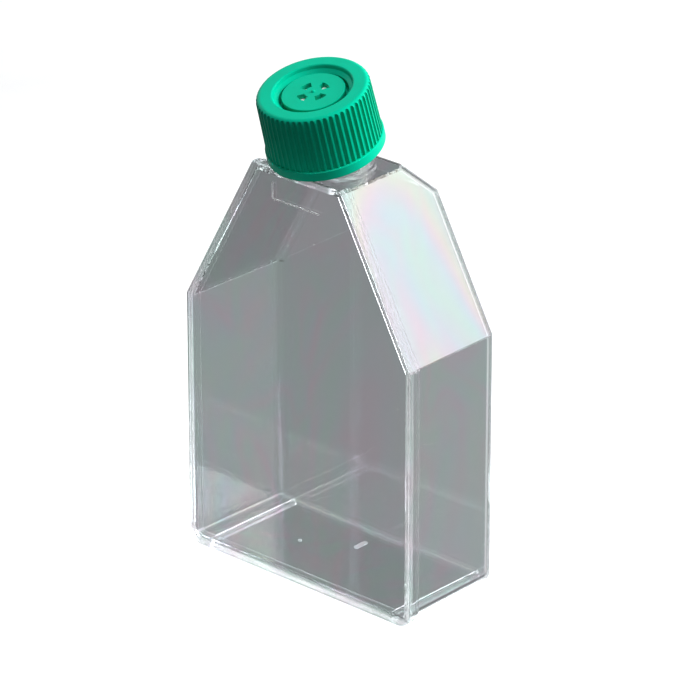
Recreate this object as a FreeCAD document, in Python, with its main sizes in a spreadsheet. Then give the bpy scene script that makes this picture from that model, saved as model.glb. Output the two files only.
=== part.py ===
import FreeCAD, Part
import math
import os
import Sketcher

# Cell culture flask, 75 square centimetres of growth area, standing on its end.
# Frame: X is the width, Y the depth (the cover faces -Y, the growth face +Y) and Z is up.
# The origin is on the table, under the middle of the width and of the depth with the cap.
# A tray with the neck is moulded in one piece, a flat cover is welded to its flange, and a
# ribbed screw cap with a vent membrane under its holes closes the canted neck.

doc = FreeCAD.newDocument("culture_flask")
vector = FreeCAD.Vector

# ---------------------------------------------------------------- driving dimensions (mm, degrees)
SIZES = [
    # the outline of the flange, seen from the front
    ("body_width", 85.0, "width over the flange"),
    ("body_depth", 37.5, "front of the cover to the growth face"),
    ("shoulder_height", 78.0, "table to the shoulders"),
    ("top_height", 125.0, "table to the top of the flange"),
    ("top_width", 33.0, "flange width at the top"),
    ("flange_corner", 4.5, "radius of the flange's two bottom corners"),
    # the tray
    ("wall", 1.3, "thickness of every moulded wall"),
    ("cover_thickness", 1.4, "the welded cover plate"),
    ("cover_edge_round", 0.42, "rounding of the cover's front edge"),
    ("flange_thickness", 1.5, "the tray's flange"),
    ("flange_overhang", 1.1, "flange beyond the side walls"),
    ("step_depth", 1.6, "stiffening step behind the flange"),
    ("draft", 0.016, "sideways draft of the walls per millimetre of depth"),
    ("rear_radius", 2.6, "rounding of the rear upright edges"),
    ("floor_radius", 2.2, "rounding of the floor's edges"),
    ("ramp_drop", 10.0, "top of the flange to the start of the ramp"),
    ("ramp_margin", 1.1, "boss at the neck's root to the top of the ramp"),
    # the feet under the floor
    ("foot_height", 1.6, "table to the underside of the floor"),
    ("foot_inset", 7.7, "side of the flange to the middle of a foot"),
    ("foot_width", 1.7, "width of a foot"),
    ("foot_rear_gap", 0.2, "growth face to the rear end of a foot"),
    ("foot_bevel", 0.4, "bevel of a foot's lower edges"),
    ("gate_length", 5.2, "mark of the moulding gate"),
    ("gate_width", 1.5, "width of the gate mark"),
    ("gate_offset", -0.6, "gate mark to the right of the middle"),
    ("gate_rear_gap", 9.4, "growth face to the middle of the gate mark"),
    ("gate_height", 0.3, "how far the gate mark stands out"),
    ("ejector_radius", 0.6, "ejector mark"),
    ("ejector_offset", 15.5, "ejector mark to the side of the middle"),
    ("ejector_rear_gap", 19.0, "growth face to the ejector mark"),
    # the label corner on the cover
    ("label_width", 17.6, "length of the corner's lower line"),
    ("label_height", 5.0, "length of the corner's upright line"),
    ("label_line", 0.4, "width of the lines"),
    ("label_relief", 0.15, "height of the lines"),
    ("label_drop", 9.2, "top of the flange to the lower line"),
    # the neck
    ("neck_cant", 16.5, "tilt of the neck toward the cover"),
    ("neck_gap", 0.09, "weld to the neck, at the flange's top"),
    ("neck_radius", 11.9, "outside of the neck, without thread"),
    ("neck_wall", 1.1, "wall of the neck"),
    ("neck_rim_round", 0.35, "rounding of the neck's rim"),
    ("neck_foot_wall", 0.8, "boss at the neck's root, outside the neck"),
    ("thread_depth", 0.95, "height of the thread ridge"),
    ("thread_lead", 8.0, "rise per turn of the two-start thread"),
    ("thread_crest", 0.7, "width of a ridge at its crest"),
    ("thread_root", 1.5, "width of a ridge at its root"),
    ("thread_sink", 0.19, "root of a ridge inside its wall"),
    ("thread_rim_gap", 1.9, "neck's rim to the upper end of its thread"),
    # the cap, measured from its own lower edge
    ("cap_lift", 5.2, "flange's top to the cap's lower edge, along the neck"),
    ("cap_height", 19.6, "overall height"),
    ("cap_top_wall", 2.7, "edge of the top outside the bore"),
    ("cap_skirt_wall", 3.1, "skirt over the flutes, just above the band"),
    ("cap_band_wall", 3.45, "plain band at the lower edge, outside the bore"),
    ("cap_band_height", 2.7, "height of the band"),
    ("cap_band_bevel", 0.25, "bevel between the band and the flutes"),
    ("cap_top_plate", 2.4, "thickness of the top over the neck's rim"),
    ("cap_edge_round", 1.5, "rounding of the top's edge"),
    ("flute_count", 58, "grip flutes around the skirt"),
    ("flute_radius", 0.68, "radius of a flute's round section"),
    ("flute_offset", 0.06, "middle of that section outside the skirt"),
    ("flute_top_gap", 0.1, "top of the cap to the round upper end of a flute"),
    ("thread_clearance", 0.4, "between the cap and the neck's thread, and the neck and the cap's"),
    ("cap_thread_gap", 0.3, "cap's widened mouth to the lower end of its thread"),
    ("cap_thread_turns", 0.8, "length of each ridge in the cap"),
    ("mouth_wall", 1.5, "wall of the widened mouth behind the band"),
    ("mouth_lead", 1.0, "height above the band where that mouth has narrowed to the bore"),
    ("groove_width", 0.85, "width of the ring groove at the disc"),
    ("groove_flare", 0.8, "mouth of the groove outside the plug"),
    ("groove_lip", 0.5, "rounding of the groove's outer lip"),
    ("groove_mouth", 1.08, "depth of the groove's wide mouth"),
    ("groove_draft", 0.36, "narrowing of that mouth"),
    ("groove_ledge", 0.48, "top of the plug's wall above the neck's rim"),
    ("disc_recess", 1.2, "vented disc below the top"),
    ("disc_round", 0.25, "rounding of the disc's rim"),
    ("disc_thickness", 1.5, "thickness of the disc"),
    ("plug_clearance", 0.3, "plug to the neck's bore"),
    ("plug_wall", 0.7, "wall of the plug"),
    ("plug_length", 2.8, "plug below the neck's rim"),
    ("plug_bevel", 0.35, "lead-in at the plug's lower edge"),
    ("tube_wall", 0.95, "wall under the rim of the disc"),
    ("tube_draft", 0.24, "narrowing of that wall toward the groove's floor"),
    ("vent_count", 4, "vent holes"),
    ("vent_inner", 2.5, "inner radius of a vent hole"),
    ("vent_outer", 4.6, "outer radius of a vent hole"),
    ("vent_angle", 46.0, "angle that a vent hole spans"),
    ("vent_phase", 73.0, "direction of the first vent hole from the width"),
    ("pip_height", 0.45, "moulding pip in the middle of the disc"),
    ("pip_foot_radius", 0.6, "radius of that pip at its foot"),
    ("pip_tip_radius", 0.4, "radius of that pip at its tip"),
    ("pip_round", 0.3, "rounding of its tip"),
    # the membrane
    ("membrane_gap", 1.0, "tube under the disc to the membrane"),
    ("membrane_thickness", 0.25, "membrane with its backing"),
    # for cuts
    ("overcut", 1.0, "how far a cut starts outside what it cuts"),
]
# Share of a width that rounds its end almost wholly, and the largest share of a neighbouring
# rounding that the floor's can take.
ROUND_END = 0.49
ROUND_SHARE = 0.9
# How near two levels are that count as the same, in millimetres.
SAME = 0.01
# Slope of a foot's bevel, in degrees, and the share of the wall that a foot reaches into.
BEVEL_SLOPE = 45
FOOT_REACH = 0.9

sheet = doc.addObject("Spreadsheet::Sheet", "Sizes")
for row, (alias, size, note) in enumerate(SIZES, start=1):
    sheet.set(f"A{row}", alias)
    sheet.set(f"B{row}", str(size))
    sheet.set(f"C{row}", note)
    sheet.setAlias(f"B{row}", alias)
doc.recompute()


def named(text):
    """An expression in which each word that is an alias of the sheet becomes its cell."""
    words = sorted((alias for alias, _, _ in SIZES), key=len, reverse=True)
    out, at = "", 0
    while at < len(text):
        word = next((w for w in words if text.startswith(w, at)), None)
        before = text[at - 1] if at else " "
        after = text[at + len(word)] if word and at + len(word) < len(text) else " "
        if word and not (before.isalnum() or before == "_") and not (after.isalnum() or after == "_"):
            out += f"Sizes.{word}"
            at += len(word)
        else:
            out += text[at]
            at += 1
    return out


def value(text):
    """The present value of an expression of the sheet's sizes."""
    result = sheet.evalExpression(named(text))
    return float(getattr(result, "Value", result))


def bind(thing, prop, text):
    thing.setExpression(prop, named(text))


# ---------------------------------------------------------------- helpers for bodies and sketches
def new_body(name):
    body = doc.addObject("PartDesign::Body", name)
    body.Label = name
    return body


def plane_of(body, role):
    return next(f for f in body.Origin.OriginFeatures if f.Role == role)


def new_sketch(body, name, role, offset="0", shift=None, turn=None):
    """A sketch on a plane of the body's origin, moved out along its normal, in it, and turned."""
    sketch = body.newObject("Sketcher::SketchObject", name)
    sketch.AttachmentSupport = (plane_of(body, role), [""])
    sketch.MapMode = "FlatFace"
    if turn is not None:
        axis = vector(0, 0, 1)
        sketch.AttachmentOffset = FreeCAD.Placement(vector(), FreeCAD.Rotation(axis, value(turn)))
        bind(sketch, ".AttachmentOffset.Rotation.Angle", turn)
    if shift is not None:
        bind(sketch, ".AttachmentOffset.Base.x", shift[0])
        bind(sketch, ".AttachmentOffset.Base.y", shift[1])
    bind(sketch, ".AttachmentOffset.Base.z", offset)
    return sketch


def measure(sketch, kind, where, text):
    """Adds a dimension that follows an expression."""
    index = sketch.addConstraint(Sketcher.Constraint(kind, *where, value(text)))
    bind(sketch, f"Constraints[{index}]", text)


def pin(sketch, geometry, end, x, y):
    """Fixes one point of a sketch at x, y, both given as expressions."""
    measure(sketch, "DistanceX", (-1, 1, geometry, end), x)
    measure(sketch, "DistanceY", (-1, 1, geometry, end), y)


def outline(sketch, corners):
    """A closed outline of straight lines through corners, each a pair of expressions."""
    points = [vector(value(x), value(y), 0) for x, y in corners]
    first = sketch.GeometryCount
    for start, end in zip(points, points[1:] + points[:1]):
        sketch.addGeometry(Part.LineSegment(start, end), False)
    for n, (x, y) in enumerate(corners):
        before = first + (n - 1) % len(corners)
        sketch.addConstraint(Sketcher.Constraint("Coincident", before, 2, first + n, 1))
        pin(sketch, first + n, 1, x, y)


def add_circle(sketch, x, y, radius):
    circle = Part.Circle(vector(value(x), value(y), 0), vector(0, 0, 1), value(radius))
    index = sketch.addGeometry(circle, False)
    pin(sketch, index, 3, x, y)
    measure(sketch, "Radius", (index,), radius)


def add_arc(sketch, start, middle, end):
    """Adds an arc, always counter-clockwise: its number and those of its ends at start and end."""
    turn = (middle - start).cross(end - middle).z
    if turn > 0:
        return sketch.addGeometry(Part.Arc(start, middle, end), False), 1, 2
    return sketch.addGeometry(Part.Arc(end, middle, start), False), 2, 1


def rounded_outline(sketch, corners, radii):
    """Like outline, but a corner whose number is in radii gets an arc of that radius.

    A rounded corner is a construction point, and the lines beside it pass through it."""
    points = [vector(value(x), value(y), 0) for x, y in corners]
    count = len(points)
    ends = {}
    for n, point in enumerate(points):
        if n not in radii:
            ends[n] = (point, point)
            continue
        into = (points[n - 1] - point).normalize()
        out = (points[(n + 1) % count] - point).normalize()
        run = value(radii[n]) / math.tan(into.getAngle(out) / 2)
        ends[n] = (point + into * run, point + out * run)
    lines = {}
    for n in range(count):
        line = Part.LineSegment(ends[n][1], ends[(n + 1) % count][0])
        lines[n] = sketch.addGeometry(line, False)
    for n, point in enumerate(points):
        before, after = lines[(n - 1) % count], lines[n]
        if n not in radii:
            sketch.addConstraint(Sketcher.Constraint("Coincident", before, 2, after, 1))
            pin(sketch, after, 1, *corners[n])
            continue
        start, end = ends[n]
        radius = value(radii[n])
        toward = ((start - point).normalize() + (end - point).normalize()).normalize()
        half = (start - point).getAngle(end - point) / 2
        centre = point + toward * (radius / math.sin(half))
        middle = centre - toward * radius
        arc, at_start, at_end = add_arc(sketch, start, middle, end)
        sketch.addConstraint(Sketcher.Constraint("Tangent", before, 2, arc, at_start))
        sketch.addConstraint(Sketcher.Constraint("Tangent", after, 1, arc, at_end))
        measure(sketch, "Radius", (arc,), radii[n])
        corner = sketch.addGeometry(Part.Point(point), True)
        pin(sketch, corner, 1, *corners[n])
        sketch.addConstraint(Sketcher.Constraint("PointOnObject", corner, 1, before))
        sketch.addConstraint(Sketcher.Constraint("PointOnObject", corner, 1, after))


def feature(body, kind, name, profile, **settings):
    made = body.newObject(f"PartDesign::{kind}", name)
    made.Profile = (profile, [""])
    for key, setting in settings.items():
        setattr(made, key, setting)
    return made


def turned(body, kind, name, profile, axis="V_Axis"):
    """A Revolution or Groove: the profile turned right round an axis of its own sketch."""
    made = feature(body, kind, name, profile, ReferenceAxis=(profile, [axis]), Angle=360.0)
    doc.recompute()
    return made


def pad(body, name, profile, length, reverse=False):
    made = feature(body, "Pad", name, profile, Reversed=reverse)
    bind(made, "Length", length)
    doc.recompute()
    return made


def loft(body, kind, name, sections):
    made = feature(body, kind, name, sections[0], Ruled=True)
    made.Sections = [(section, [""]) for section in sections[1:]]
    doc.recompute()
    return made


def round_edges(body, name, base, radius, wanted):
    """Rounds the edges of base that wanted(edge) picks."""
    found = [f"Edge{n}" for n, edge in enumerate(base.Shape.Edges, start=1) if wanted(edge)]
    made = body.newObject("PartDesign::Fillet", name)
    made.Base = (base, found)
    bind(made, "Radius", radius)
    doc.recompute()
    return made


def polar(body, name, base, axis, count):
    made = body.newObject("PartDesign::PolarPattern", name)
    made.Originals = [base]
    made.Axis = axis
    made.Angle = 360
    bind(made, "Occurrences", count)
    body.Tip = made
    doc.recompute()
    return made


def thread(body, name, ridge, root, outward, start, turns):
    """Two helical ridges round the upright axis of a sketch, pointing "+" outward or "-" inward."""
    inward = "-" if outward == "+" else "+"
    back = f"({root} {inward} thread_sink)"
    crest = f"({root} {outward} thread_depth)"
    outline(ridge, [(back, f"({start} - thread_root / 2)"), (crest, f"({start} - thread_crest / 2)"),
                    (crest, f"({start} + thread_crest / 2)"), (back, f"({start} + thread_root / 2)")])
    helix = feature(body, "AdditiveHelix", name, ridge, ReferenceAxis=(ridge, ["V_Axis"]))
    helix.Mode = "pitch-turns-angle"
    # Without this the helix picks a pitch of its own.
    helix.HasBeenEdited = True
    bind(helix, "Pitch", "thread_lead")
    bind(helix, "Turns", turns)
    doc.recompute()
    return polar(body, f"{name}_starts", helix, (ridge, ["V_Axis"]), "2")


# ---------------------------------------------------------------- shared geometry, as expressions
# Front of the cover to the neck's axis, at the height of the flange's top.
NECK_DEPTH = "(cover_thickness + neck_gap + neck_radius / cos(neck_cant))"
CAP_BORE = "(neck_radius + thread_depth + thread_clearance)"
CAP_TOP_RADIUS = f"({CAP_BORE} + cap_top_wall)"
# The canted cap stands out in front of the cover. The origin is at the middle of the whole depth.
CAP_OVERHANG = ("((cap_lift + cap_height - cap_edge_round) * sin(neck_cant)"
                f" + ({CAP_TOP_RADIUS} - cap_edge_round) * cos(neck_cant) + cap_edge_round - {NECK_DEPTH})")
# Y of the cover's front face, of the weld between the cover and the tray, and of the growth face.
FRONT = f"(({CAP_OVERHANG} - body_depth) / 2)"
WELD = f"({FRONT} + cover_thickness)"
REAR = f"({FRONT} + body_depth)"

# The boss at the neck's root stands just behind the weld, and the ramp starts behind the boss.
NECK_FOOT = "(neck_radius + neck_foot_wall)"
TOP_DEPTH = f"(cover_thickness + neck_gap + 2 * {NECK_FOOT} + ramp_margin)"
# Each slanted side of the outline moves inward by SLANT per millimetre of height, and the
# ramp moves toward the cover by RAMP per millimetre of height.
SLANT = "((body_width - top_width) / 2 / (top_height - shoulder_height))"
WALL_TOP = "(top_height - flange_overhang)"
RAMP = f"((body_depth - {TOP_DEPTH}) / (ramp_drop - flange_overhang))"


def lower_drop(inset, slope):
    """How far the corner under a slanted side drops when the outline is inset."""
    return f"({inset} * (sqrt(1 + {slope} ^ 2) - 1) / {slope})"


def upper_inset(inset, slope):
    """How far the corner at the top of a slanted side moves inward."""
    return f"({inset} * (sqrt(1 + {slope} ^ 2) - {slope}))"


def house(inset, floor):
    """Corners of the flask's outline from the front, inset from the flange's edge."""
    side = f"(body_width / 2 - {inset})"
    top = f"(top_width / 2 - {upper_inset(inset, SLANT)})"
    shoulder = f"(shoulder_height - {lower_drop(inset, SLANT)})"
    height = f"(top_height - {inset})"
    right = [(side, floor), (side, shoulder), (top, height)]
    return right + [(f"-{x}", z) for x, z in reversed(right)]


def section(body, name, height, half_width, rear, front, radius):
    """A level cut through the tray's walls: a draughted oblong with round rear corners."""
    def half(y):
        return f"({half_width} - draft * ({y} - {WELD}))"
    sketch = new_sketch(body, name, "XY_Plane", height)
    corners = [(half(front), front), (half(rear), rear),
               (f"-{half(rear)}", rear), (f"-{half(front)}", front)]
    rounded_outline(sketch, corners, {1: radius, 2: radius})
    return sketch


def wall_sections(body, name, inset, wall, floor, front, radius):
    """The four levels of the tray, from the top down: top, start of the ramp, shoulders, floor."""
    side = f"(body_width / 2 - {inset})"
    shoulder = f"(shoulder_height - {lower_drop(inset, SLANT)})"
    top = f"(top_height - {inset})"
    ramp = f"(top_height - ramp_drop - {lower_drop(wall, RAMP)})"
    ramp_side = f"({side} - {SLANT} * ({ramp} - {shoulder}))"
    top_side = f"(top_width / 2 - {upper_inset(inset, SLANT)})"
    rear = f"({REAR} - {wall})"
    top_rear = f"({FRONT} + {TOP_DEPTH} - {upper_inset(wall, RAMP)})"
    levels = [("top", top, top_side, top_rear), ("ramp", ramp, ramp_side, rear),
              ("shoulder", shoulder, side, rear), ("floor", floor, side, rear)]
    return [section(body, f"{name}_{level}", height, half, back, front, radius)
            for level, height, half, back in levels]


# ---------------------------------------------------------------- flask_body: tray, feet and neck
tray = new_body("flask_body")
outer = wall_sections(tray, "outer", "flange_overhang", "0", "foot_height", WELD, "rear_radius")
walls = loft(tray, "AdditiveLoft", "walls", outer)

# The floor's rounding can't be larger than the upright edges' that it runs into.
FLOOR_ROUND = f"min(floor_radius; {ROUND_SHARE} * rear_radius)"


def around(level):
    """Picks the edges in the loop around a floor, apart from the one at the front."""
    height, front = value(level), value(WELD)

    def wanted(edge):
        box = edge.BoundBox
        return max(abs(box.ZMin - height), abs(box.ZMax - height)) < SAME and box.YMax > front + SAME
    return wanted


round_edges(tray, "floor_edges", walls, FLOOR_ROUND, around("foot_height"))

flange_outline = new_sketch(tray, "flange_outline", "XZ_Plane", f"-{WELD}")
rounded_outline(flange_outline, house("0", "0"), {0: "flange_corner", 5: "flange_corner"})
pad(tray, "flange", flange_outline, "flange_thickness", reverse=True)

step_outline = new_sketch(tray, "step_outline", "XZ_Plane", f"-({WELD} + flange_thickness)")
STEP_CORNER = "(flange_corner - flange_overhang / 2)"
rounded_outline(step_outline, house("(flange_overhang / 2)", "(foot_height / 2)"),
                {0: STEP_CORNER, 5: STEP_CORNER})
pad(tray, "flange_step", step_outline, "step_depth", reverse=True)

# The neck's own plane is turned so that its upright axis is the neck's axis.
NECK_Y = f"({FRONT} + {NECK_DEPTH})"
CAP_SEAT = "(cap_height - cap_top_plate)"
NECK_RIM = f"(cap_lift + {CAP_SEAT})"
NECK_BORE = "(neck_radius - neck_wall)"
# Below the flange's top the neck reaches right through the top wall, on its lower side too.
NECK_ROOT = "((flange_overhang + wall + neck_radius * sin(neck_cant)) / cos(neck_cant) + wall / 2)"


def neck_sketch(name):
    return new_sketch(tray, name, "YZ_Plane", shift=(NECK_Y, "top_height"), turn="neck_cant")


neck_foot = new_sketch(tray, "neck_foot_circle", "XY_Plane", f"({WALL_TOP} - wall / 2)")
add_circle(neck_foot, "0", f"({WELD} + neck_gap + {NECK_FOOT})", NECK_FOOT)
pad(tray, "neck_foot", neck_foot, "flange_overhang + wall / 2")

neck_profile = neck_sketch("neck_profile")
outline(neck_profile, [("0", f"-{NECK_ROOT}"), ("neck_radius", f"-{NECK_ROOT}"),
                       ("neck_radius", f"({NECK_RIM} - neck_rim_round)"),
                       ("(neck_radius - neck_rim_round)", NECK_RIM), ("0", NECK_RIM)])
turned(tray, "Revolution", "neck", neck_profile)

# The chamber removes everything inside the walls, through the flange too.
CHAMBER_INSET = "(flange_overhang + wall)"
inner = wall_sections(tray, "inner", CHAMBER_INSET, "wall", "(foot_height + wall)",
                      f"({WELD} - overcut)", "(rear_radius - wall / 2)")
chamber = loft(tray, "SubtractiveLoft", "chamber", inner)
round_edges(tray, "chamber_edges", chamber, f"({FLOOR_ROUND} - wall / 2)", around("foot_height + wall"))

bore_profile = neck_sketch("bore_profile")
outline(bore_profile, [("0", f"-{NECK_ROOT}"), (NECK_BORE, f"-{NECK_ROOT}"),
                       (NECK_BORE, f"({NECK_RIM} + overcut)"), ("0", f"({NECK_RIM} + overcut)")])
turned(tray, "Groove", "neck_bore", bore_profile)

# With the cap screwed down the two threads start at one height, the cap's just above its mouth.
SKIRT_LOW = "(cap_band_height + cap_band_bevel)"
CAP_MOUTH_TOP = f"({SKIRT_LOW} + mouth_lead)"
CAP_THREAD_START = f"({CAP_MOUTH_TOP} + cap_thread_gap + thread_root / 2)"
NECK_THREAD_START = f"(cap_lift + {CAP_THREAD_START})"
NECK_THREAD_TURNS = f"(({NECK_RIM} - thread_rim_gap - {NECK_THREAD_START}) / thread_lead)"
thread(tray, "neck_thread", neck_sketch("neck_ridge"), "neck_radius", "+", NECK_THREAD_START,
       NECK_THREAD_TURNS)

# A foot: a low rib from the flange to near the growth face, with a round rear end and a bevel
# round its sole. Both parts are made from one outline, up and down.
foot = new_sketch(tray, "foot_outline", "XY_Plane", "foot_bevel")
foot_left = "((body_width - foot_width) / 2 - foot_inset)"
foot_right = "((body_width + foot_width) / 2 - foot_inset)"
foot_front, foot_rear = f"({WELD} + flange_thickness / 2)", f"({REAR} - foot_rear_gap)"
foot_end = f"(foot_width * {ROUND_END})"
rounded_outline(foot, [(foot_right, foot_front), (foot_right, foot_rear),
                       (foot_left, foot_rear), (foot_left, foot_front)], {1: foot_end, 2: foot_end})
right_foot = pad(tray, "right_foot", foot, f"foot_height + {FOOT_REACH} * wall - foot_bevel")
right_sole = pad(tray, "right_sole", foot, "foot_bevel", reverse=True)
right_sole.TaperAngle = -BEVEL_SLOPE
left_foot = tray.newObject("PartDesign::Mirrored", "left_foot")
left_foot.Originals = [right_foot, right_sole]
left_foot.MirrorPlane = (plane_of(tray, "YZ_Plane"), [""])
tray.Tip = left_foot
doc.recompute()

# The gate mark and an ejector mark stand out under the floor.
marks = new_sketch(tray, "floor_marks", "XY_Plane", "foot_height - gate_height")
gate_left, gate_right = "(gate_offset - gate_width / 2)", "(gate_offset + gate_width / 2)"
gate_front = f"({REAR} - gate_rear_gap - gate_length / 2)"
gate_rear = f"({REAR} - gate_rear_gap + gate_length / 2)"
rounded_outline(marks, [(gate_right, gate_front), (gate_right, gate_rear),
                        (gate_left, gate_rear), (gate_left, gate_front)],
                {corner: f"(gate_width * {ROUND_END})" for corner in range(4)})
add_circle(marks, "-ejector_offset", f"({REAR} - ejector_rear_gap)", "ejector_radius")
pad(tray, "marks_under_floor", marks, "gate_height + wall / 2")


# ---------------------------------------------------------------- cover_plate
cover = new_body("cover_plate")
cover_outline = new_sketch(cover, "cover_outline", "XZ_Plane", f"-{FRONT}")
rounded_outline(cover_outline, house("0", "0"), {0: "flange_corner", 5: "flange_corner"})
plate = pad(cover, "plate", cover_outline, "cover_thickness", reverse=True)
front_level = value(FRONT)
round_edges(cover, "front_edges", plate, "cover_edge_round",
            lambda edge: abs(edge.BoundBox.YMax - front_level) < SAME)

# A raised corner on the front marks where the label goes.
label = new_sketch(cover, "label_corner", "XZ_Plane", f"-({FRONT} + cover_thickness / 2)")
label_left, label_right = "(-label_width / 2)", "(label_width / 2)"
label_low = "(top_height - label_drop)"
outline(label, [(label_left, label_low), (label_right, label_low),
                (label_right, f"({label_low} + label_line)"),
                (f"({label_left} + label_line)", f"({label_low} + label_line)"),
                (f"({label_left} + label_line)", f"({label_low} + label_height)"),
                (label_left, f"({label_low} + label_height)")])
pad(cover, "label_lines", label, "cover_thickness / 2 + label_relief")


def onto_neck(body):
    """Places a body that was made around its own upright axis on the neck, at the cap's height."""
    body.Placement = FreeCAD.Placement(vector(), FreeCAD.Rotation(vector(1, 0, 0), value("neck_cant")))
    bind(body, ".Placement.Rotation.Angle", "neck_cant")
    bind(body, ".Placement.Base.y", f"({NECK_Y} - cap_lift * sin(neck_cant))")
    bind(body, ".Placement.Base.z", "(top_height + cap_lift * cos(neck_cant))")


# ---------------------------------------------------------------- screw_cap
cap = new_body("screw_cap")
SKIRT_RADIUS = f"({CAP_BORE} + cap_skirt_wall)"
BAND_RADIUS = f"({CAP_BORE} + cap_band_wall)"
PLUG = f"({NECK_BORE} - plug_clearance)"
DISC_TOP = "(cap_height - disc_recess)"
PLUG_END = f"({CAP_SEAT} - plug_length)"
GROOVE_FLOOR = f"({PLUG_END} + plug_wall)"
GROOVE_SIDE = f"({PLUG} - plug_wall)"
GROOVE_MOUTH = f"({PLUG} + groove_flare)"
DISC_RADIUS = f"({GROOVE_SIDE} - groove_width)"
TUBE_IN = f"({DISC_RADIUS} - tube_wall)"

# Half of the cap's section, from the pip down inside the tube and the plug, down the bore, up
# the skirt, over the top and down and up the ring groove, which narrows above the neck's rim.
half_section = new_sketch(cap, "cap_half_section", "XZ_Plane")
cap_corners = [
    ("0", f"({DISC_TOP} + pip_height)"), ("0", f"({DISC_TOP} - disc_thickness)"),
    (TUBE_IN, f"({DISC_TOP} - disc_thickness)"), (TUBE_IN, PLUG_END),
    (f"({PLUG} - plug_bevel)", PLUG_END), (PLUG, f"({PLUG_END} + plug_bevel)"), (PLUG, CAP_SEAT),
    (CAP_BORE, CAP_SEAT), (CAP_BORE, CAP_MOUTH_TOP),
    (f"({BAND_RADIUS} - mouth_wall)", "(cap_band_height - cap_band_bevel)"),
    (f"({BAND_RADIUS} - mouth_wall)", "0"), (BAND_RADIUS, "0"),
    (BAND_RADIUS, "cap_band_height"), (f"({BAND_RADIUS} - cap_band_bevel)", SKIRT_LOW),
    (SKIRT_RADIUS, SKIRT_LOW), (CAP_TOP_RADIUS, "cap_height"), (GROOVE_MOUTH, "cap_height"),
    (f"({GROOVE_MOUTH} - groove_draft)", "(cap_height - groove_mouth)"),
    (GROOVE_SIDE, f"({CAP_SEAT} + groove_ledge)"), (GROOVE_SIDE, GROOVE_FLOOR),
    (f"({DISC_RADIUS} - tube_draft)", GROOVE_FLOOR), (DISC_RADIUS, DISC_TOP),
    ("pip_foot_radius", DISC_TOP), ("pip_tip_radius", f"({DISC_TOP} + pip_height)"),
]
rounded_outline(half_section, cap_corners, {
    cap_corners.index((BAND_RADIUS, "0")): "cap_band_bevel",
    cap_corners.index((CAP_TOP_RADIUS, "cap_height")): "cap_edge_round",
    cap_corners.index((GROOVE_MOUTH, "cap_height")): "groove_lip",
    cap_corners.index((DISC_RADIUS, DISC_TOP)): "disc_round",
    cap_corners.index(("pip_tip_radius", f"({DISC_TOP} + pip_height)")): "pip_round",
})
turned(cap, "Revolution", "cap_shell", half_section)

# At rest the cap's ridges lie midway between the neck's, a quarter turn further round.
thread(cap, "cap_thread", new_sketch(cap, "cap_ridge", "XZ_Plane"), CAP_BORE, "-",
       CAP_THREAD_START, "cap_thread_turns")

# A flute is a round-ended groove up the skirt, cut by turning half of its section about its
# own sloping middle line.
flute = new_sketch(cap, "flute_section", "XZ_Plane")
FLUTE_LOW = (f"({SKIRT_RADIUS} + flute_offset)", SKIRT_LOW)
FLUTE_HIGH = (f"({CAP_TOP_RADIUS} + flute_offset)", "(cap_height - flute_top_gap)")
low, high = (vector(value(x), value(z), 0) for x, z in (FLUTE_LOW, FLUTE_HIGH))
along = (high - low).normalize()
inward = vector(-along.y, along.x, 0) * value("flute_radius")
dome_centre = high - along * value("flute_radius")
tip = dome_centre + (along * value("flute_radius") + inward) * math.sqrt(0.5)
middle_line = flute.addGeometry(Part.LineSegment(low, high), False)
low_end = flute.addGeometry(Part.LineSegment(low, low + inward), False)
side_line = flute.addGeometry(Part.LineSegment(low + inward, dome_centre + inward), False)
dome, dome_start, dome_end = add_arc(flute, dome_centre + inward, tip, high)
turning_axis = flute.addGeometry(Part.LineSegment(low, high), True)
pin(flute, middle_line, 1, *FLUTE_LOW)
pin(flute, middle_line, 2, *FLUTE_HIGH)
flute.addConstraint([
    Sketcher.Constraint("Coincident", turning_axis, 1, middle_line, 1),
    Sketcher.Constraint("Coincident", turning_axis, 2, middle_line, 2),
    Sketcher.Constraint("Coincident", low_end, 1, middle_line, 1),
    Sketcher.Constraint("Perpendicular", low_end, middle_line),
    Sketcher.Constraint("Coincident", side_line, 1, low_end, 2),
    Sketcher.Constraint("Parallel", side_line, middle_line),
    Sketcher.Constraint("Tangent", side_line, 2, dome, dome_start),
    Sketcher.Constraint("Coincident", dome, dome_end, middle_line, 2),
    Sketcher.Constraint("PointOnObject", dome, 3, middle_line),
])
measure(flute, "Distance", (low_end,), "flute_radius")
first_flute = turned(cap, "Groove", "flute", flute, axis="Axis0")
polar(cap, "flutes", first_flute, (half_section, ["V_Axis"]), "flute_count")

# A vent hole is a sector of a ring round the middle of the disc.
vents = new_sketch(cap, "vent_sector", "XY_Plane", f"({DISC_TOP} + pip_height)", turn="vent_phase")
half_angle = math.radians(value("vent_angle") / 2)
arcs = {}
for radius in ("vent_inner", "vent_outer"):
    circle = Part.Circle(vector(), vector(0, 0, 1), value(radius))
    arcs[radius] = vents.addGeometry(Part.ArcOfCircle(circle, -half_angle, half_angle), False)
    vents.addConstraint(Sketcher.Constraint("Coincident", arcs[radius], 3, -1, 1))
    measure(vents, "Radius", (arcs[radius],), radius)
for side, end in ((-1, 1), (1, 2)):
    direction = vector(math.cos(half_angle), side * math.sin(half_angle), 0)
    inside, outside = direction * value("vent_inner"), direction * value("vent_outer")
    edge = vents.addGeometry(Part.LineSegment(inside, outside), False)
    vents.addConstraint(Sketcher.Constraint("Coincident", edge, 1, arcs["vent_inner"], end))
    vents.addConstraint(Sketcher.Constraint("Coincident", edge, 2, arcs["vent_outer"], end))
    vents.addConstraint(Sketcher.Constraint("PointOnObject", -1, 1, edge))
    measure(vents, "DistanceY", (-1, 1, edge, 2), f"({side} * vent_outer * sin(vent_angle / 2))")
slot = feature(cap, "Pocket", "vent_hole", vents)
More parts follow.
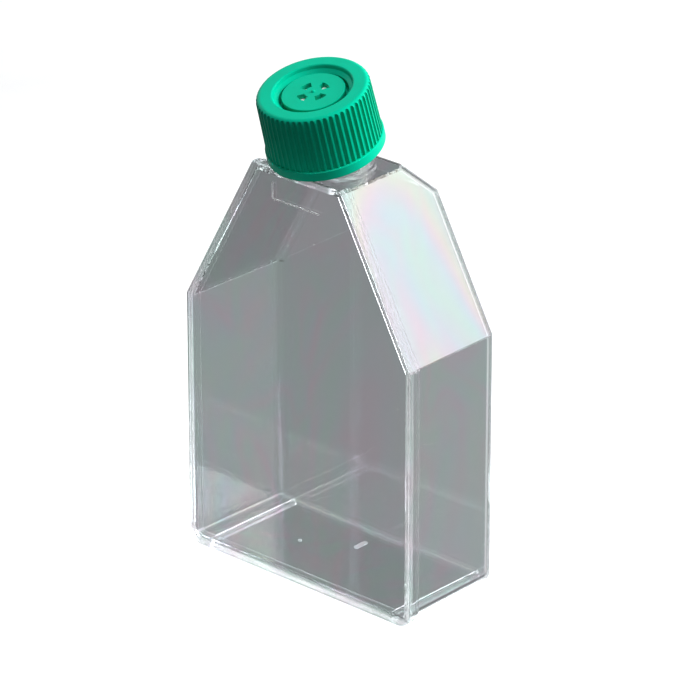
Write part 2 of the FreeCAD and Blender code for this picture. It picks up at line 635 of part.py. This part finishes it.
bind(slot, "Length", "pip_height + disc_thickness + overcut")
doc.recompute()
polar(cap, "vent_holes", slot, (half_section, ["V_Axis"]), "vent_count")
onto_neck(cap)

# ---------------------------------------------------------------- vent_membrane
membrane = new_body("vent_membrane")
disc = new_sketch(membrane, "membrane_circle", "XY_Plane", f"({DISC_TOP} - disc_thickness)")
add_circle(disc, "0", "0", f"({TUBE_IN} - membrane_gap)")
pad(membrane, "membrane", disc, "membrane_thickness", reverse=True)
onto_neck(membrane)
doc.recompute()

# ---------------------------------------------------------------- checks and export
os.makedirs("parts", exist_ok=True)
for thing in doc.Objects:
    if {"Invalid", "Error"} & set(thing.State):
        raise RuntimeError(f"{thing.Name} failed: {thing.State}")
bodies = [tray, cover, cap, membrane]
for body in bodies:
    if body.Shape.isNull() or not body.Shape.isValid() or len(body.Shape.Solids) != 1:
        raise RuntimeError(f"{body.Label} is not one valid solid")
for body in bodies:
    body.Shape.exportStep(f"parts/{body.Label}.step")
    print(f"{body.Label}: {body.Shape.Volume:.0f} cubic millimetres")
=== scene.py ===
import math

import bpy
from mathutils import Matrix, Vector


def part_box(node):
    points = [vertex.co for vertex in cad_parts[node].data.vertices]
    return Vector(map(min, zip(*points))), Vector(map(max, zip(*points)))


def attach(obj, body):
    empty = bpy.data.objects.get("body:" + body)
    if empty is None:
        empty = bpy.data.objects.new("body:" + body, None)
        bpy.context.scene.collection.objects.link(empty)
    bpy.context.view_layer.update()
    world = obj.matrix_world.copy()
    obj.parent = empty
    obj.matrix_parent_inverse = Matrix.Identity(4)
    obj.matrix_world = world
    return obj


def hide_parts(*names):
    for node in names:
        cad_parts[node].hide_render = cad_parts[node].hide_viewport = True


# A clear cell culture flask with a green vented screw cap, on a pale floor. Metres throughout.
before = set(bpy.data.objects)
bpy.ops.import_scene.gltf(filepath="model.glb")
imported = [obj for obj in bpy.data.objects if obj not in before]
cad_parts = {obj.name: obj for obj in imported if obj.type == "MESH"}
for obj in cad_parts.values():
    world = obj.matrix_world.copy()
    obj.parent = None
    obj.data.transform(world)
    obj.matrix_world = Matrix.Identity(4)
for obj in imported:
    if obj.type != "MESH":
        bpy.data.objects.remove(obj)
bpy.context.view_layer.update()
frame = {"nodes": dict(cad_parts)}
scene = bpy.context.scene

MM = 0.001
COVER_LOW, COVER_HIGH = (Vector(corner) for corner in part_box("cover_plate"))

# The flask's outline from the front: half its width, the level of its shoulders, its top and
# half the width there. Behind the weld stand the tray's flange and the step on it.
HALF_WIDTH, TOP = COVER_HIGH.x, COVER_HIGH.z
SHOULDER, HALF_TOP = 78.0 * MM, 16.5 * MM
WELD, FLANGE_DEPTH = COVER_HIGH.y, 3.1 * MM

# The label lines stand out in front of the cover, and the gate and ejector marks under the floor.
LABEL_RELIEF, MARK_LEVEL = 0.15 * MM, 1.3 * MM

# How far the cover sinks into the tray, so that light crosses the weld as in one piece.
WELD_SINK = 0.01 * MM

# The view: where the camera stands round the object, and the point in the middle of the picture.
AZIMUTH, ELEVATION = math.radians(42.42), math.radians(24.07)
DISTANCE = 1.407
TARGET = Vector((0.0028, COVER_LOW.y + 0.01918, 0.0674))
LENS, SENSOR = 258.1, 36.0

# Haze against the distance from the flask's outline, as a share of RIM_BREADTH: partly the weld's
# own haze, partly painted highlight where the rims catch light. The lines waver by RIM_WAVER, end
# over
# FLANGE_FADE behind the flange, and thicken in the lowest LOW_HIGHLIGHT_ZONE, a painted highlight
# on the bottom rim.
RIM_LINES = [(0.0, 0.0), (0.05, 0.05), (0.09, 0.5), (0.13, 0.15), (0.22, 0.15), (0.27, 0.7),
             (0.32, 0.15), (0.4, 0.35), (0.46, 0.05), (0.55, 0.0)]
RIM_BREADTH, RIM_WAVER = 4.0 * MM, 0.05 * MM
FLANGE_FADE, LOW_HIGHLIGHT_ZONE = 0.3 * MM, 6.0 * MM
# The haze of the label lines and of the marks under the floor, and the most there is anywhere.
LABEL_HAZE, MARK_HAZE, THICKEST_HAZE = 0.5, 0.3, 0.85
WHITISH = (0.96, 0.97, 0.98, 1.0)
# How squarely a surface has to face an axis to start to count as facing it, and to count fully.
SQUARE_ON = (0.8, 0.95)

# Stress in the moulded plastic shows as colours, in this order as it rises: PASTELS in what the
# plastic reflects, and the fainter TINTS in what it lets through.
PASTELS = [(0.9, 0.97, 1.0), (1.0, 0.93, 0.97), (1.0, 0.99, 0.9), (0.9, 1.0, 0.95)]
TINTS = [(0.94, 0.98, 1.0), (1.0, 0.94, 0.98), (0.95, 0.98, 0.99), (0.91, 1.0, 0.97)]
# The bands follow a noise, drawn out along the height, from a first level in even steps.
STRESS_BANDS, STRESS_START, STRESS_STEP = 13, 0.26, 0.04
STRESS_STRETCH = (1.0, 1.0, 0.5)

# The studio by direction, as the plastic sees it: an elevation in degrees, and the brightness at
# eight azimuths from straight behind the flask round by its left, the camera and its right.
STUDIO = [
    (-80.0, (0.4, 0.4, 0.45, 0.45, 0.4, 0.4, 0.4, 0.4)),
    (-48.0, (0.3, 0.4, 0.65, 0.55, 0.55, 0.4, 0.55, 0.05)),
    (-24.0, (0.27, 0.35, 0.25, 0.4, 0.4, 0.4, 0.75, 0.7)),
    (-8.0, (0.05, 0.35, 0.3, 0.35, 0.35, 0.35, 0.35, 0.4)),
    (8.0, (0.6, 0.95, 1.4, 1.5, 1.3, 1.0, 2.5, 0.75)),
    (24.0, (0.02, 2.4, 0.02, 4.8, 6.7, 4.4, 9.0, 0.02)),
    (48.0, (0.02, 2.4, 1.0, 0.02, 6.1, 3.4, 0.7, 2.5)),
    (80.0, (0.95, 1.5, 2.3, 2.8, 3.3, 1.9, 1.0, 1.1)),
]
# The colour ramps hold these as shares of this brightness, so their colours stay within 0 to 1.
BRIGHTEST = 10.0
STUDIO_WHITE = (0.97, 0.98, 1.0, 1.0)
# What the studio gives to surfaces that aren't clear.
AMBIENT = 0.14
# How bright the backdrop is above the floor's far edge.
BACKDROP = 0.95

# The floor: half its side, and how far it lies under the feet. A light of its own comes in
# between the two distances, where the lamps don't reach it, so that it meets the backdrop evenly.
FLOOR_HALF, FLOOR_DROP = 6.0, 0.02 * MM
FAR_GLOW, GLOW_FROM, GLOW_FULL = 0.8, 0.4, 0.9

# Light can run a long way inside the walls before it leaves them.
BOUNCES = 48


def direction(azimuth, elevation):
    """A unit vector that points from the object to something at this azimuth and elevation."""
    level = math.cos(elevation)
    return Vector((math.sin(azimuth) * level, -math.cos(azimuth) * level, math.sin(elevation)))


# ---------------------------------------------------------------- node helpers
class Nodes:
    """A node tree with short ways to add and link nodes."""

    def __init__(self, tree, output="OutputMaterial"):
        self.tree = tree
        tree.nodes.clear()
        self.output = self.node(output)

    def node(self, kind, inputs=None, **settings):
        """Adds a node. Each input is given as another node's socket, to link, or as a value."""
        made = self.tree.nodes.new(f"ShaderNode{kind}")
        for key, setting in settings.items():
            setattr(made, key, setting)
        for key, given in (inputs or {}).items():
            socket = made.inputs[key]
            if isinstance(given, bpy.types.NodeSocket):
                self.tree.links.new(given, socket)
            else:
                socket.default_value = given
        return made

    def math(self, operation, first, second=0.0):
        return self.node("Math", {0: first, 1: second}, operation=operation).outputs[0]

    def product(self, first, *others):
        for other in others:
            first = self.math("MULTIPLY", first, other)
        return first

    def measure(self, operation, *vectors):
        """The number that an operation on one or two vectors gives."""
        made = self.node("VectorMath", dict(enumerate(vectors)), operation=operation)
        return made.outputs["Value"]

    def parts(self, vector):
        """The X, Y and Z of a vector."""
        made = self.node("SeparateXYZ", {"Vector": vector})
        return made.outputs["X"], made.outputs["Y"], made.outputs["Z"]

    def mix(self, share, first, second):
        """The first value at share 0 and the second at share 1."""
        return self.node("Mix", {"Factor": share, "A": first, "B": second}).outputs["Result"]

    def blend(self, share, first, second):
        """The first colour at share 0 and the second at share 1."""
        # The node's colour sockets share their names with those for values, so they go by number.
        made = self.node("Mix", {0: share, 6: first, 7: second}, data_type="RGBA")
        return made.outputs[2]

    def spread(self, source, low, high, start=0.0, end=1.0):
        """Maps start..end of a value to low..high."""
        return self.node("MapRange", {"Value": source, "From Min": start, "From Max": end,
                                      "To Min": low, "To Max": high}).outputs["Result"]

    def ramp(self, source, stops):
        """Colours or values along a line: (position, colour or value) in order."""
        made = self.node("ValToRGB", {"Fac": source})
        elements = made.color_ramp.elements
        while len(elements) < len(stops):
            elements.new(1.0)
        for element, (position, given) in zip(elements, stops):
            element.position = position
            colour = given if isinstance(given, tuple) else (given, given, given)
            element.color = (*colour, 1.0)
        return made.outputs["Color"]

    def place(self):
        """Object coordinates, in metres."""
        return self.node("TexCoord").outputs["Object"]

    def stretched(self, scale):
        """Object coordinates scaled differently along each axis."""
        return self.node("Mapping", {"Vector": self.place(), "Scale": scale}).outputs["Vector"]

    def facing(self, axis):
        """How squarely the surface faces along an axis, 0 to 1."""
        normal = self.node("NewGeometry").outputs["True Normal"]
        return self.math("ABSOLUTE", self.node("SeparateXYZ", {"Vector": normal}).outputs[axis])

    def noise(self, scale, detail=3.0, roughness=0.5, vector=None, distortion=0.0):
        made = self.node("TexNoise", {
            "Vector": vector or self.place(),
            "Scale": scale,
            "Detail": detail,
            "Roughness": roughness,
            "Distortion": distortion,
        })
        return made.outputs["Fac"]

    def bump(self, height, strength, distance):
        made = self.node("Bump", {"Height": height, "Strength": strength, "Distance": distance})
        return made.outputs["Normal"]

    def principled(self, inputs):
        return self.node("BsdfPrincipled", inputs).outputs["BSDF"]

    def surface(self, shader):
        self.tree.links.new(shader, self.output.inputs["Surface"])


def material(name, fill):
    """A material whose nodes the function fill makes."""
    made = bpy.data.materials.new(name)
    made.use_nodes = True
    nodes = Nodes(made.node_tree)
    nodes.surface(fill(nodes))
    return made


# ---------------------------------------------------------------- materials
def rim_inset(s):
    """How far a point lies inside the flask's outline as seen from the front."""
    x, _, z = s.parts(s.place())
    side = s.math("SUBTRACT", HALF_WIDTH, s.math("ABSOLUTE", x))
    rise, run = TOP - SHOULDER, HALF_WIDTH - HALF_TOP
    length = math.hypot(rise, run)
    slant = s.math("ADD", s.math("MULTIPLY", side, rise / length),
                   s.math("MULTIPLY", s.math("SUBTRACT", SHOULDER, z), run / length))
    ends = s.math("MINIMUM", s.math("SUBTRACT", TOP, z), z)
    return s.math("MINIMUM", s.math("MINIMUM", side, slant), ends)


def rim_haze_and_highlight(s):
    """Whitish lines in the cover's edge and the flange, 0 to 1: partly weld haze, partly painted
    highlight.
    """
    _, depth, height = s.parts(s.place())
    waver = s.spread(s.noise(60.0, 2.0), -RIM_WAVER, RIM_WAVER)
    inset = s.math("ADD", rim_inset(s), waver)
    lines = s.ramp(s.spread(inset, 0.0, 1.0, 0.0, RIM_BREADTH), RIM_LINES)
    flange_end = WELD + FLANGE_DEPTH
    in_flange = s.spread(depth, 1.0, 0.0, flange_end, flange_end + FLANGE_FADE)
    patchy = s.spread(s.noise(350.0, 3.0), 0.2, 0.36, 0.3, 0.7)
    flat_on = s.spread(s.facing("Y"), 0.25, 1.0, *SQUARE_ON)
    # Painted highlight: more haze in the lowest zone whitens the bottom rim.
    low = s.spread(height, 1.9, 1.0, 0.0, LOW_HIGHLIGHT_ZONE)
    haze = s.product(lines, in_flange, patchy, flat_on, low)
    return s.math("MINIMUM", haze, THICKEST_HAZE)


def mark_haze(s):
    """The raised label lines and the marks under the floor scatter light, 0 to 1."""
    _, depth, height = s.parts(s.place())
    label = s.spread(depth, 1.0, 0.0, COVER_LOW.y + 0.3 * LABEL_RELIEF,
                     COVER_LOW.y + LABEL_RELIEF - 2.0 * WELD_SINK)
    off = s.math("ABSOLUTE", s.math("SUBTRACT", height, MARK_LEVEL))
    at_level = s.spread(off, 1.0, 0.0, 0.03 * MM, 0.06 * MM)
    mark = s.product(at_level, s.spread(s.facing("Z"), 0.0, 1.0, *SQUARE_ON))
    return s.math("MAXIMUM", s.math("MULTIPLY", label, LABEL_HAZE),
                  s.math("MULTIPLY", mark, MARK_HAZE))


def stress_colours(s, scale, colours, strength):
    """Slow bands of colours: white at strength 0, as given at 1, and stronger beyond it."""
    stress = s.noise(scale, 1.5, 0.45, s.stretched(STRESS_STRETCH), 0.8)
    stops = []
    for n in range(STRESS_BANDS):
        colour = tuple(1.0 - strength * (1.0 - part) for part in colours[n % len(colours)])
        stops.append((STRESS_START + STRESS_STEP * n, colour))
    return s.ramp(stress, stops)


def clear_plastic(s):
    """Moulded clear polystyrene, with pastel stress colours and a hazy welded rim, partly painted
    highlight.
    """
    haze = s.math("MAXIMUM", rim_haze_and_highlight(s), mark_haze(s))
    whitened = s.math("MULTIPLY", haze, 4.0)
    return s.principled({
        "Base Color": s.blend(whitened, stress_colours(s, 28.0, TINTS, 1.0), WHITISH),
        "Roughness": s.spread(haze, 0.0, 0.6),
        "IOR": 1.59,
        "Specular Tint": stress_colours(s, 17.0, PASTELS, 2.3),
        "Transmission Weight": s.math("SUBTRACT", 1.0, haze),
    })


def green_plastic(s):
    """The cap's glossy green polyethylene."""
    mottle = s.noise(140.0, 3.0, 0.55)
    grain = s.noise(2600.0, 2.0, 0.5)
    return s.principled({
        "Base Color": s.ramp(mottle, [(0.0, (0.0, 0.4, 0.235)), (1.0, (0.0, 0.48, 0.295))]),
        "Roughness": s.spread(mottle, 0.25, 0.38),
        "IOR": 1.5,
        "Specular IOR Level": 0.06,
        "Subsurface Weight": 0.1,
        "Subsurface Radius": (0.2, 1.0, 0.6),
        "Subsurface Scale": 0.4 * MM,
        "Normal": s.bump(grain, 0.06, 0.05 * MM),
    })


def membrane_fabric(s):
    """The vent's white fibrous membrane."""
    fibre = s.noise(1800.0, 4.0, 0.6)
    return s.principled({
        "Base Color": s.ramp(fibre, [(0.0, (0.78, 0.86, 0.84)), (1.0, (0.95, 0.97, 0.96))]),
        "Roughness": 0.85,
        "Sheen Weight": 0.2,
        "Normal": s.bump(fibre, 0.4, 0.06 * MM),
    })


def pale_floor(s):
    """Pale all over: a glow comes in further out, where the lamps don't reach."""
    grain = s.noise(60.0, 4.0, 0.6)
    away = s.measure("LENGTH", s.place())
    return s.principled({
        "Base Color": s.ramp(grain, [(0.0, (0.89, 0.895, 0.9)), (1.0, (0.93, 0.935, 0.94))]),
        "Roughness": 0.9,
        "Specular IOR Level": 0.1,
        "Emission Color": STUDIO_WHITE,
        "Emission Strength": s.spread(away, 0.0, FAR_GLOW, GLOW_FROM, GLOW_FULL),
    })


# ---------------------------------------------------------------- the object
def dress(piece, finish):
    """Gives a piece one material."""
    piece.data.materials.clear()
    piece.data.materials.append(finish)


def weld_cover(cover, finish):
    """A piece that stands for the cover, with the same shape but sunk a little into the tray."""
    welded = bpy.data.objects.new("welded_cover", cover.data.copy())
    scene.collection.objects.link(welded)
    dress(welded, finish)
    sink = welded.modifiers.new("weld", "DISPLACE")
    sink.strength = WELD_SINK
    sink.mid_level = 0.0
    sink.direction = "NORMAL"
    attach(welded, "flask")
    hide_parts("cover_plate")
    return welded


def dress_flask(nodes):
    """Gives every piece its material. The clear ones cast no shadow, as light goes through."""
    clear = material("clear_polystyrene", clear_plastic)
    dress(nodes["flask_body"], clear)
    for piece in nodes["flask_body"], weld_cover(nodes["cover_plate"], clear):
        piece.visible_shadow = False
    dress(nodes["screw_cap"], material("green_cap", green_plastic))
    dress(nodes["vent_membrane"], material("white_membrane", membrane_fabric))


# ---------------------------------------------------------------- stage, light and camera
def make_floor():
    """A pale floor that only the camera sees. The plastic sees the studio's lower half there."""
    finish = material("floor", pale_floor)
    finish.cycles.emission_sampling = "NONE"
    mesh = bpy.data.meshes.new("floor")
    corners = [(-FLOOR_HALF, -FLOOR_HALF), (FLOOR_HALF, -FLOOR_HALF),
               (FLOOR_HALF, FLOOR_HALF), (-FLOOR_HALF, FLOOR_HALF)]
    mesh.from_pydata([(x, y, -FLOOR_DROP) for x, y in corners], [], [(0, 1, 2, 3)])
    mesh.materials.append(finish)
    floor = bpy.data.objects.new("floor", mesh)
    scene.collection.objects.link(floor)
    floor.visible_diffuse = False
    floor.visible_glossy = False
    floor.visible_transmission = False


def softbox(name, azimuth, elevation, distance, size, power, aim=TARGET, spread=180.0):
    """An area light that looks at a point. A grid can keep its light to a few degrees."""
    light = bpy.data.lights.new(name, "AREA")
    light.shape = "RECTANGLE"
    light.size, light.size_y = size
    light.energy = power
    light.spread = math.radians(spread)
    lamp = bpy.data.objects.new(name, light)
    scene.collection.objects.link(lamp)
    toward = direction(math.radians(azimuth), math.radians(elevation))
    lamp.location = aim + toward * distance
    lamp.rotation_euler = toward.to_track_quat("Z", "Y").to_euler()
    lamp.visible_camera = False
    lamp.visible_glossy = False
    lamp.visible_transmission = False


def make_softboxes():
    """A key from behind, a weak one from above, and a small one on the lower cover's haze."""
    softbox("key", azimuth=137.0, elevation=26.0, distance=0.9, size=(0.6, 0.88), power=21.0)
    softbox("top", azimuth=60.0, elevation=78.0, distance=1.0, size=(0.5, 0.5), power=5.6)
    softbox("front", azimuth=22.0, elevation=12.0, distance=1.3, size=(0.05, 0.05), power=0.08,
            aim=Vector((0.0, COVER_LOW.y, 0.038)), spread=7.2)


def studio_ring(s, turn, strengths):
    """The studio's brightness round one elevation, as a share of BRIGHTEST."""
    around = strengths + strengths[:1]
    return s.ramp(turn, [(n / len(strengths), part / BRIGHTEST) for n, part in enumerate(around)])


def studio_shine(s):
    """The studio's brightness in the direction that a ray takes."""
    toward = s.node("TexCoord").outputs["Generated"]
    front = direction(AZIMUTH, 0.0)
    right = Vector((-front.y, front.x, 0.0))
    turn = s.math("ARCTAN2", s.measure("DOT_PRODUCT", toward, tuple(right)),
                  s.measure("DOT_PRODUCT", toward, tuple(front)))
    turn = s.spread(turn, 0.0, 1.0, -math.pi, math.pi)
    _, _, up = s.parts(toward)
    height = s.math("ARCSINE", up)
    shine, below = None, None
    for degrees, strengths in STUDIO:
        elevation = math.radians(degrees)
        ring = studio_ring(s, turn, strengths)
        if shine is None:
            shine = ring
        else:
            shine = s.mix(s.spread(height, 0.0, 1.0, below, elevation), shine, ring)
        below = elevation
    return s.math("MULTIPLY", shine, BRIGHTEST)


def make_world():
    """The studio as the plastic sees it. What isn't clear gets an even, weak light instead."""
    world = bpy.data.worlds.new("studio")
    # Sampled as a lamp, it would take no notice of the path, and light every surface alike.
    world.cycles.sampling_method = "NONE"
    world.use_nodes = True
    scene.world = world
    s = Nodes(world.node_tree, "OutputWorld")
    path = s.node("LightPath").outputs
    after_diffuse = s.math("MINIMUM", path["Diffuse Depth"], 1.0)
    strength = s.mix(after_diffuse, studio_shine(s), AMBIENT)
    strength = s.mix(path["Is Camera Ray"], strength, BACKDROP)
    background = s.node("Background", {"Color": STUDIO_WHITE, "Strength": strength})
    s.surface(background.outputs[0])


def make_camera():
    camera = bpy.data.objects.new("camera", bpy.data.cameras.new("camera"))
    scene.collection.objects.link(camera)
    camera.data.lens, camera.data.sensor_width = LENS, SENSOR
    camera.data.clip_start, camera.data.clip_end = 0.01, 50.0
    back = direction(AZIMUTH, ELEVATION)
    camera.location = TARGET + back * DISTANCE
    camera.rotation_euler = back.to_track_quat("Z", "Y").to_euler()
    scene.camera = camera


def set_light_paths():
    """Enough bounces for the clear walls, and plain colours."""
    scene.view_settings.view_transform = "Standard"
    scene.cycles.max_bounces = BOUNCES
    scene.cycles.transmission_bounces = BOUNCES
    scene.cycles.glossy_bounces = BOUNCES
    scene.cycles.use_denoising = True


dress_flask(frame["nodes"])
make_floor()
make_world()
make_softboxes()
make_camera()
set_light_paths()
